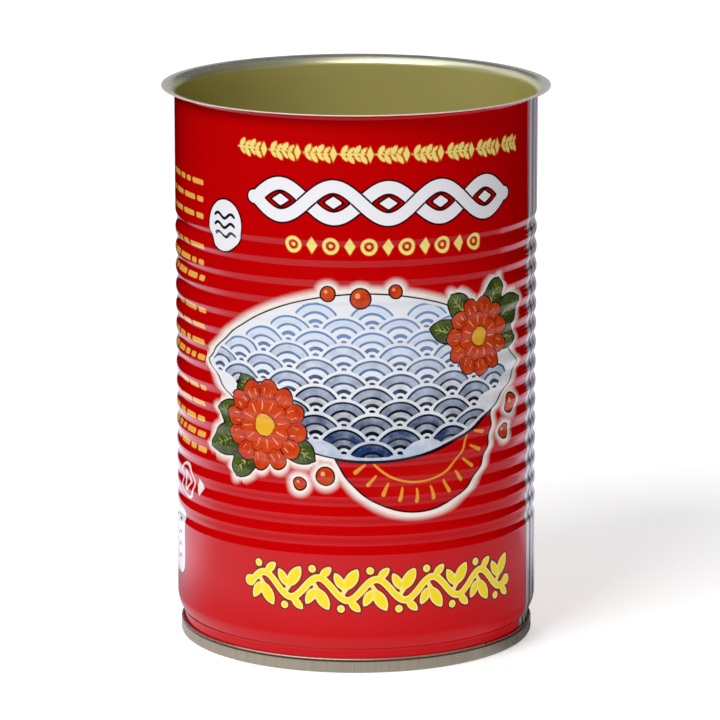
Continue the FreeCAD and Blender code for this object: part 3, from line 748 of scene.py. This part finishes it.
def oval(p):
    """The small white oval beside the braid, with three plain wavy lines."""
    cx, cy = -35.3, 88.4
    def shape(x, y):
        a = math.radians(-14)
        u, v = (x - cx) * math.cos(a) + (y - cy) * math.sin(a), -(x - cx) * math.sin(a) + (y - cy) * math.cos(a)
        return (np.hypot(u / 4.5, v / 5.2) - 1) * 4.7
    p.add("white", shape, (cx - 5, cx + 5, cy - 6, cy + 6))
    for k in range(3):
        yy = cy - 1.9 + 1.9 * k
        pts = [(cx - 2.7 + 5.4 * t / 20, yy + 0.5 * math.sin(t / 20 * math.pi * 3.0)) for t in range(21)]
        p.path("mark", pts, 0.30)


def info(p):
    """The panel between the fronts: short plain bars where small print would be, a ring, and two white labels."""
    rng = np.random.default_rng(11)
    right = 500 + 29.0
    rows = [97.0, 93.6, 90.2, 84.0, 80.8, 77.6, 71.0, 67.8, 64.6, 61.4, 55.2, 52.0, 48.8, 45.6, 42.4]
    for k, y0 in enumerate(rows):
        for start, length in ((right, 20 + 10 * rng.random()), (right - 33, 16 + 8 * rng.random())):
            xx = start
            stop = start - length
            while xx > stop:
                w = 0.9 + 2.1 * rng.random()
                p.box("small", xx - w, y0, w, 0.52, 0.3)
                xx -= 2 * w + 0.9
    # a ring with a diamond in it and one beside it, drawn in white line
    cx, cy = 500 + 20.4, 34.4
    p.path("ringlet", [(cx + 3.5 * math.cos(t / 24 * math.pi), cy + 3.5 * math.sin(t / 24 * math.pi)) for t in range(49)], 0.28)
    p.path("ringlet", [(cx + 1.7, cy), (cx, cy + 2.0), (cx - 1.7, cy), (cx, cy - 2.0), (cx + 1.7, cy)], 0.28)
    p.diamond("ringlet", cx + 6.2, cy, 1.4, 1.9)
    # white labels with plain bars and wavy lines
    p.box("white", 500 + 13.4, 21.0, 5.4, 7.0, 3.0)
    p.box("white", 500 - 12.5, 21.0, 15.5, 7.0, 1.2)
    for k in range(5):
        p.box("mark", 500 - 12.5, 25.4 - 2.2 * k, 13.3, 0.16, 0.1)
    for k in range(1, 4):
        p.box("mark", 500 - 26.0 + 6.8 * k, 21.0, 0.14, 5.4, 0.1)
    for k in range(4):
        for m in range(4):
            w = 0.7 + 1.6 * rng.random()
            p.box("mark", 500 - 29.0 + 6.8 * m + 6.6, 24.3 - 2.2 * k, w, 0.36, 0.2)
    for k in range(4):
        pts = [(500 + 13.4 - 3.2 + 6.4 * t / 16, 17.2 + 2.5 * k + 0.55 * math.sin(t / 16 * math.pi * 3)) for t in range(17)]
        p.path("mark", pts, 0.24)


KEYS = ("fine", "white", "notch", "over", "gold", "waves", "sun", "foam", "blue", "pale", "ray", "petal", "petal_in", "crease", "streak", "heart", "vein", "green", "shape", "depth", "mark", "small", "ringlet")


def print_layers(arc, z, r):
    p = Print(arc, z)
    garland(p)
    braid(p)
    dots(p)
    scroll(p)
    picture(p)
    oval(p)
    info(p)
    return {key: p.field(key) for key in KEYS}


def print_colours(n, base):
    """Lays the inks over the red, from the glow up to the finest lines."""
    def on(key, at=0.0, soft=0.05):
        return n.ramp(n.attr(key), at + soft, at - soft)

    ink = (0.012, 0.004, 0.006, 1.0)
    shape = n.attr("shape")
    glow = n.math("MAXIMUM", n.ramp(shape, 0.90, 0.70), n.math("MULTIPLY", n.ramp(shape, 2.1, 0.6, smooth=True), 0.85))
    glow = n.math("MULTIPLY", glow, n.ramp(n.noise(700.0), 0.3, 0.6, 0.93, 1.0))
    c = n.mix(glow, base, (0.88, 0.80, 0.74, 1.0))
    c = n.mix(n.ramp(shape, 0.05, -0.05), c, ink)
    # the sun
    sun = n.attr("sun")
    sun_c = n.mix(n.ramp(sun, -15.0, -1.0, smooth=True), (0.66, 0.018, 0.004, 1.0), (0.50, 0.002, 0.003, 1.0))
    c = n.mix(n.ramp(sun, -0.30, -0.40), c, sun_c)
    c = n.mix(on("ray"), c, (0.74, 0.30, 0.03, 1.0))
    # the waves
    wave = n.attr("waves")
    depth = n.attr("depth")
    mottle = n.noise(330.0, 3.0, 0.6)
    lightness = n.math("ADD", depth, n.ramp(mottle, 0.3, 0.7, -0.25, 0.25))
    deep = n.mix(n.ramp(lightness, -0.25, 0.55), (0.007, 0.008, 0.011, 1.0), (0.16, 0.26, 0.50, 1.0))
    c = n.mix(n.ramp(wave, -0.25, -0.35), c, deep)
    mid = n.mix(n.ramp(lightness, -0.75, 0.5), (0.012, 0.035, 0.13, 1.0), (0.66, 0.73, 0.84, 1.0))
    c = n.mix(on("blue"), c, mid)
    light = n.mix(n.ramp(lightness, -0.9, 0.1), (0.02, 0.05, 0.13, 1.0), (0.78, 0.80, 0.86, 1.0))
    c = n.mix(on("pale"), c, light)
    foam = n.mix(n.ramp(lightness, -1.1, -0.2), (0.34, 0.42, 0.58, 1.0), (0.80, 0.81, 0.85, 1.0))
    c = n.mix(on("foam"), c, foam)
    # leaves
    c = n.mix(on("green", 0.30), c, ink)
    leafy = n.mix(n.ramp(mottle, 0.35, 0.65), (0.035, 0.060, 0.012, 1.0), (0.10, 0.14, 0.03, 1.0))
    c = n.mix(on("green"), c, leafy)
    c = n.mix(on("vein"), c, (0.36, 0.36, 0.12, 1.0))
    # flowers
    c = n.mix(on("petal", 0.30), c, ink)
    petal = n.mix(n.ramp(mottle, 0.35, 0.65), (0.50, 0.030, 0.008, 1.0), (0.62, 0.075, 0.012, 1.0))
    c = n.mix(on("petal"), c, petal)
    inner = n.attr("petal_in")
    c = n.mix(n.ramp(inner, 0.22, 0.14), c, (0.20, 0.008, 0.004, 1.0))
    c = n.mix(n.ramp(inner, 0.05, -0.05), c, (0.60, 0.055, 0.012, 1.0))
    c = n.mix(on("streak"), c, (0.80, 0.36, 0.20, 1.0))
    c = n.mix(on("heart"), c, (0.78, 0.42, 0.03, 1.0))
    c = n.mix(on("crease"), c, (0.16, 0.006, 0.004, 1.0))
    # the rows and labels
    c = n.mix(n.ramp(n.attr("fine"), 0.16, 0.02), c, (0.66, 0.16, 0.02, 1.0))
    c = n.mix(on("fine", -0.03), c, (0.90, 0.76, 0.22, 1.0))
    c = n.mix(on("small", 0.02, 0.06), c, (0.86, 0.46, 0.08, 1.0))
    c = n.mix(on("ringlet", 0.02), c, (0.80, 0.78, 0.80, 1.0))
    white = n.attr("white")
    c = n.mix(n.ramp(white, 0.42, 0.34), c, (0.045, 0.002, 0.003, 1.0))
    c = n.mix(n.ramp(white, 0.04, -0.04), c, (0.88, 0.87, 0.91, 1.0))
    c = n.mix(on("notch"), c, (0.045, 0.002, 0.003, 1.0))
    c = n.mix(on("over"), c, (0.88, 0.87, 0.91, 1.0))
    c = n.mix(on("mark"), c, (0.012, 0.010, 0.014, 1.0))
    gold_l = n.attr("gold")
    c = n.mix(n.ramp(gold_l, 0.36, 0.28), c, (0.17, 0.008, 0.003, 1.0))
    c = n.mix(n.ramp(gold_l, 0.04, -0.04), c, (0.90, 0.72, 0.24, 1.0))
    c = n.mix(n.ramp(gold_l, -0.26, -0.34), c, (0.86, 0.66, 0.008, 1.0))
    return c


# ---------------------------------------------------------------- the pieces
WELD_AZ = (70.0, 88.0)


def weld_relief(az):
    """The weld's overlap stands a little proud between two faint hollows."""
    def bell(c, w):
        return np.exp(-(((az - c) / w) ** 2))
    lift = 0.07 * bell(77.4, 0.9) - 0.035 * bell(74.8, 1.1) - 0.04 * bell(80.0, 1.5) - 0.02 * bell(72.4, 0.8)
    edge = np.clip(np.minimum(az - WELD_AZ[0], WELD_AZ[1] - az) / 1.0, 0, 1)
    lift = lift * edge
    slope = np.gradient(lift, np.radians(az) * WALL)
    return lift, slope


OUTER = outer_rows(68, 12)
wall_mat, gold_mat, weld_mat, end_mat = printed(), gold(), weld(), end_metal()

wall_front = turned("wall_front", OUTER, -56.0, WELD_AZ[0], 244, layers=print_layers)
wall_side = turned("wall_side", OUTER, -110.0, -56.0, 90, layers=print_layers)
wall_back = turned("wall_back", OUTER, WELD_AZ[1] - 360, -110.0, 278, layers=print_layers)
weld_strip = turned("weld_strip", OUTER, WELD_AZ[0], WELD_AZ[1], 60, relief=weld_relief)


def lip_layer(arc, z, r):
    """1 on the sheared edge of the sheet, 0 elsewhere."""
    return {"cut_edge": np.clip((r - (LIP - 0.075)) / 0.03, 0, 1)}


inner_wall = turned("inner_wall", inner_rows(24, 10), 0, 360, 360, layers=lip_layer)
for ob in (wall_front, wall_side, wall_back):
    ob.data.materials.append(wall_mat)
weld_strip.data.materials.append(weld_mat)
inner_wall.data.materials.append(gold_mat)
for ob in (wall_front, wall_side, wall_back, weld_strip, inner_wall):
    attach(ob, "root")
    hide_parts("can_body")
can_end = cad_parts["can_end"]
can_end.data.materials.clear()
can_end.data.materials.append(end_mat)
for p in can_end.data.polygons:
    p.material_index = 0


# ---------------------------------------------------------------- floor, light and camera
def stage_sheet(name, corners):
    me = bpy.data.meshes.new(name)
    me.from_pydata(corners, [], [tuple(range(len(corners)))])
    ob = bpy.data.objects.new(name, me)
    bpy.context.scene.collection.objects.link(ob)
    return ob


floor = stage_sheet("floor", [(-6, -6, 0), (6, -6, 0), (6, 6, 0), (-6, 6, 0)])
f = Nodes("pale_floor")
f.shader(f.mix(f.ramp(f.noise(6.0), 0.3, 0.7), (0.86, 0.86, 0.86, 1), (0.90, 0.90, 0.90, 1)), 0.9)
f.tree.nodes["Principled BSDF"].inputs["Emission Color"].default_value = (1, 1, 1, 1)
f.tree.nodes["Principled BSDF"].inputs["Emission Strength"].default_value = 0.50
floor.data.materials.append(f.mat)
floor.visible_glossy = False
floor.visible_diffuse = False

# what polished metal and varnish see: a white table near the can, bright behind it and fading out in front
table = stage_sheet("table_glow", [(-3, -3, -0.0001), (3, -3, -0.0001), (3, 3, -0.0001), (-3, 3, -0.0001)])
t = Nodes("table_glow")
geo = t.add("ShaderNodeNewGeometry")
sep = t.add("ShaderNodeSeparateXYZ")
t.put(sep.inputs[0], geo.outputs["Position"])
tx, ty = sep.outputs[0], sep.outputs[1]
dist = t.math("SQRT", t.math("ADD", t.math("MULTIPLY", tx, tx), t.math("MULTIPLY", ty, ty)))
near = t.math("MAXIMUM", t.ramp(dist, TABLE_NEAR[0], TABLE_NEAR[1], TABLE_L[0], TABLE_L[1], smooth=True), t.ramp(dist, TABLE_NEAR[2], TABLE_NEAR[3], TABLE_L[1], TABLE_L[2], smooth=True))
near = t.math("MULTIPLY", near, t.ramp(dist, TABLE_END[0], TABLE_END[1], 1.0, 0.0, smooth=True))
skew = t.ramp(t.math("DIVIDE", tx, t.math("MAXIMUM", dist, 0.001)), -0.5, 0.7, 1.0, SHADE)
near = t.math("MULTIPLY", near, skew)
turn = t.ramp(t.math("DIVIDE", tx, t.math("MAXIMUM", dist, 0.001)), 0.74, 0.96, smooth=True)
turn = t.math("MULTIPLY", turn, t.ramp(dist, 0.056, 0.043, smooth=True))
near = t.math("MULTIPLY", near, t.math("MULTIPLY_ADD", turn, STARBOARD, 1.0))
port = t.math("MULTIPLY", t.ramp(ty, -0.015, 0.035, smooth=True), t.ramp(tx, -0.045, -0.065))
near = t.math("MULTIPLY", near, t.math("MULTIPLY_ADD", port, PORT_L, 1.0))
wide = t.math("MAXIMUM", t.math("MULTIPLY_ADD", ty, 1.05, -0.04), 0.24)
back = t.math("MULTIPLY", t.ramp(ty, 0.02, 0.065, smooth=True), t.ramp(t.math("SUBTRACT", tx, wide), 0.0, -0.02))
back = t.math("MULTIPLY", back, t.ramp(tx, -0.13, -0.11))
level = t.math("MAXIMUM", near, t.math("MULTIPLY", back, t.ramp(ty, 0.14, 0.30, BACK_L[0], BACK_L[1], smooth=True)))
em = t.add("ShaderNodeEmission")
em.inputs["Color"].default_value = (1.0, 0.95, 1.12, 1.0)
t.put(em.inputs["Strength"], level)
to = t.add("ShaderNodeOutputMaterial")
t.tree.links.new(em.outputs[0], to.inputs[0])
t.mat.cycles.emission_sampling = "NONE"
table.data.materials.append(t.mat)
for flag in ("visible_camera", "visible_diffuse", "visible_shadow", "visible_transmission", "visible_volume_scatter"):
    setattr(table, flag, False)

bounce = stage_sheet("table_bounce", [(0.25 * math.sin(k * math.pi / 32), -0.25 * math.cos(k * math.pi / 32), -0.0002) for k in range(64)])
u = Nodes("table_bounce")
geo = u.add("ShaderNodeNewGeometry")
sep = u.add("ShaderNodeSeparateXYZ")
u.put(sep.inputs[0], geo.outputs["Position"])
em = u.add("ShaderNodeEmission")
u.put(em.inputs["Strength"], u.math("MULTIPLY", u.ramp(sep.outputs[0], -0.10, 0.12, 1.0, 0.55), BOUNCE))
uo = u.add("ShaderNodeOutputMaterial")
u.tree.links.new(em.outputs[0], uo.inputs[0])
bounce.data.materials.append(u.mat)
for flag in ("visible_camera", "visible_glossy", "visible_shadow", "visible_transmission", "visible_volume_scatter"):
    setattr(bounce, flag, False)

world = bpy.data.worlds.new("studio")
bpy.context.scene.world = world
world.use_nodes = True
world.cycles.sampling_method = "NONE"
w = world.node_tree
w.nodes.clear()


class WorldNodes(Nodes):
    def __init__(self, tree):
        self.tree = tree


w = WorldNodes(w)
direction = w.add("ShaderNodeSeparateXYZ")
w.put(direction.inputs[0], w.add("ShaderNodeTexCoord").outputs["Generated"])
dx, dy, dz = direction.outputs
over = w.math("ADD", w.math("ADD", w.math("MULTIPLY", dz, 0.74), w.math("MULTIPLY", dy, -0.30)), w.math("MULTIPLY", dx, -0.60))
glow = w.math("MULTIPLY", w.ramp(over, OVER[0], OVER[1], 0.0, OVER[2], smooth=True), w.ramp(dz, 0.60, 0.72, smooth=True))
room = w.math("ADD", glow, ROOM)
rays = w.add("ShaderNodeLightPath")
tint = w.add("ShaderNodeBackground")
w.put(tint.inputs["Strength"], room)
plain = w.add("ShaderNodeBackground")
plain.inputs["Color"].default_value = (1, 1, 1, 1)
soft = w.math("MULTIPLY", w.ramp(dz, -0.15, 0.15, AMBIENT[1], AMBIENT[0], smooth=True), w.ramp(dx, -0.4, 0.5, AMBIENT_TURN[0], AMBIENT_TURN[1], smooth=True))
w.put(plain.inputs["Strength"], w.math("MAXIMUM", soft, rays.outputs["Is Camera Ray"]))
pick = w.add("ShaderNodeMixShader")
w.put(pick.inputs[0], rays.outputs["Is Glossy Ray"])
w.tree.links.new(plain.outputs[0], pick.inputs[1])
w.tree.links.new(tint.outputs[0], pick.inputs[2])
wo = w.add("ShaderNodeOutputWorld")
w.tree.links.new(pick.outputs[0], wo.inputs[0])


def softbox(name, place, aim, size, power):
    data = bpy.data.lights.new(name, "AREA")
    data.shape = "RECTANGLE"
    data.size, data.size_y = size
    data.energy = power
    ob = bpy.data.objects.new(name, data)
    ob.location = place
    d = np.array(aim, float) - np.array(place, float)
    from mathutils import Vector
    ob.rotation_euler = Vector(d).to_track_quat("-Z", "Y").to_euler()
    ob.visible_glossy = False
    bpy.context.scene.collection.objects.link(ob)
    return ob


# the strip light over the front shines only on the bare and gold side of the sheet
lip_only = bpy.data.collections.new("lip_only")
lip_only.objects.link(inner_wall)
for args in LIGHTS:
    lamp = softbox(*args)
    if args[0].startswith("rim"):
        lamp.visible_glossy = True
        lamp.light_linking.receiver_collection = lip_only

cam = bpy.data.cameras.new("camera")
cam.lens = 241.08
cam.sensor_width = 36.0
cam.clip_end = 50
cam_ob = bpy.data.objects.new("camera", cam)
cam_ob.location = (0.00079, -0.96069, 0.26732)
cam_ob.rotation_euler = (math.radians(90 - 12.402), 0, 0)
bpy.context.scene.collection.objects.link(cam_ob)
scene = bpy.context.scene
scene.camera = cam_ob
scene.view_settings.view_transform = "Standard"
scene.view_settings.look = "None"
scene.cycles.use_denoising = True
scene.cycles.max_bounces = 8
scene.cycles.diffuse_bounces = 3
scene.cycles.glossy_bounces = 5
scene.cycles.sample_clamp_indirect = 4.0
